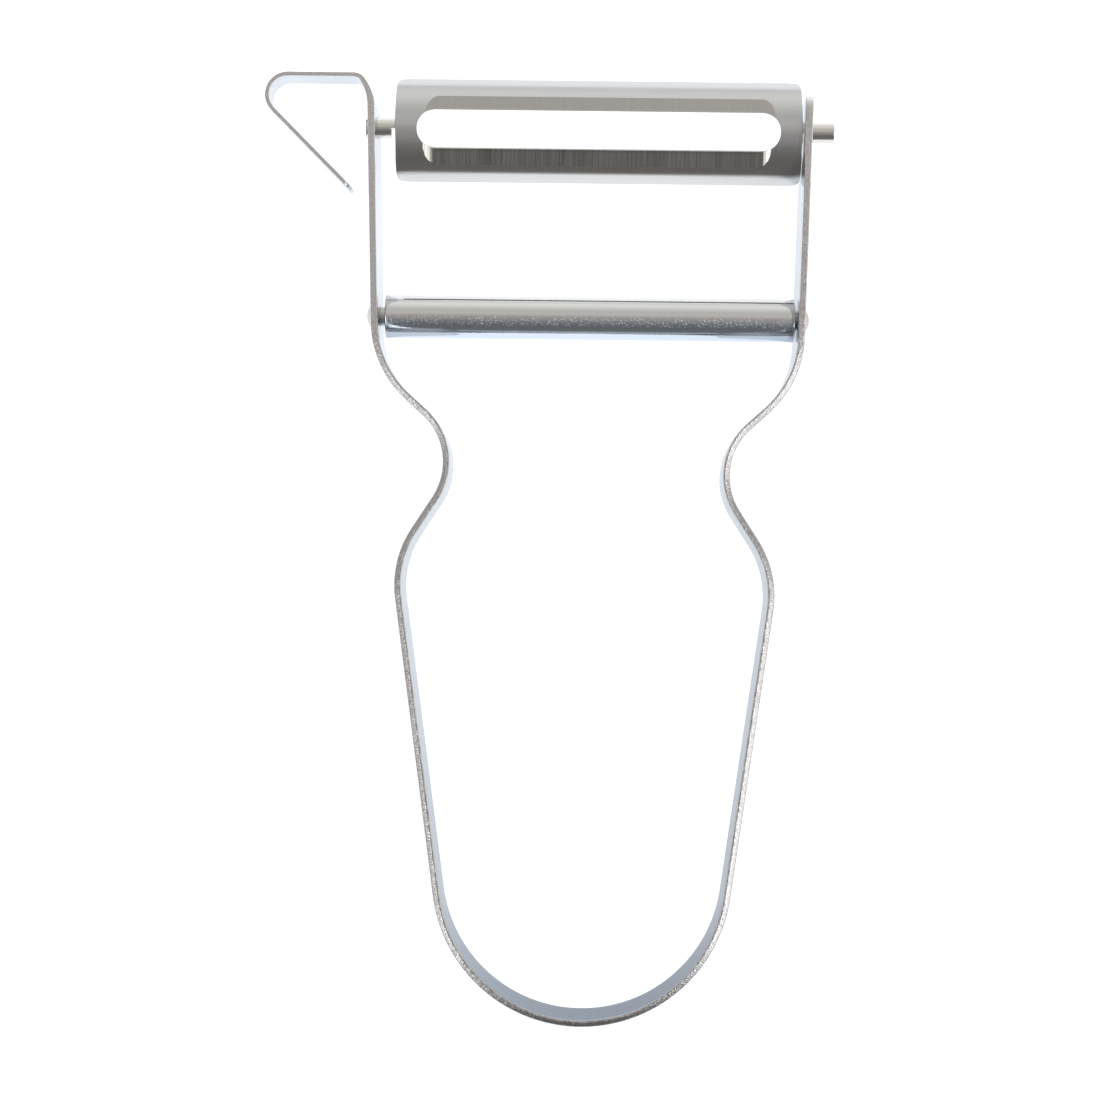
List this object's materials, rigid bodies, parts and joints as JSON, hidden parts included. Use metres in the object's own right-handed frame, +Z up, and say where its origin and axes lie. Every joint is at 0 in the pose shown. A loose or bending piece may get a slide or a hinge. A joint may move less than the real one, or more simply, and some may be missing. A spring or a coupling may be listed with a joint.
{
  "type": "vegetable peeler",
  "caption": "Swivel vegetable peeler bent from one steel strip, with a slotted, curved blade turning between two arms, a riveted crossbar sleeve and a loop for digging out eyes.",
  "frame": {"origin": "middle of the strip's lower edge, at the closed end of the handle on the centre line", "axes": "+Z up across the width of the strip, as the peeler lies on a table; +Y along the centre line from the handle to the blade; +X to the right, the eye loop being on the left"},
  "size_m": [0.0662, 0.1107, 0.0105],
  "materials": {
    "strip_steel": "rolled strip, bright faces and sheared grey edges",
    "blade_steel": "satin rolled sheet with ground edges along the slot",
    "sleeve_steel": "polished drawn tube",
    "rivet_steel": "bright upset heads"
  },
  "bodies": {
    "frame": {"strip_frame": "strip_steel", "crossbar_rivet": "rivet_steel"},
    "blade": {"blade": "blade_steel"},
    "sleeve": {"crossbar_sleeve": "sleeve_steel"}
  },
  "joints": [
    {"name": "blade_swivel", "type": "hinge", "parent": "frame", "child": "blade", "pos_m": [0.00101, 0.1042, 0.00525], "axis": [1, 0, 0], "continuous": true},
    {"name": "sleeve_spin", "type": "hinge", "parent": "frame", "child": "sleeve", "pos_m": [0, 0.08211, 0.00525], "axis": [1, 0, 0], "continuous": true}
  ]
}
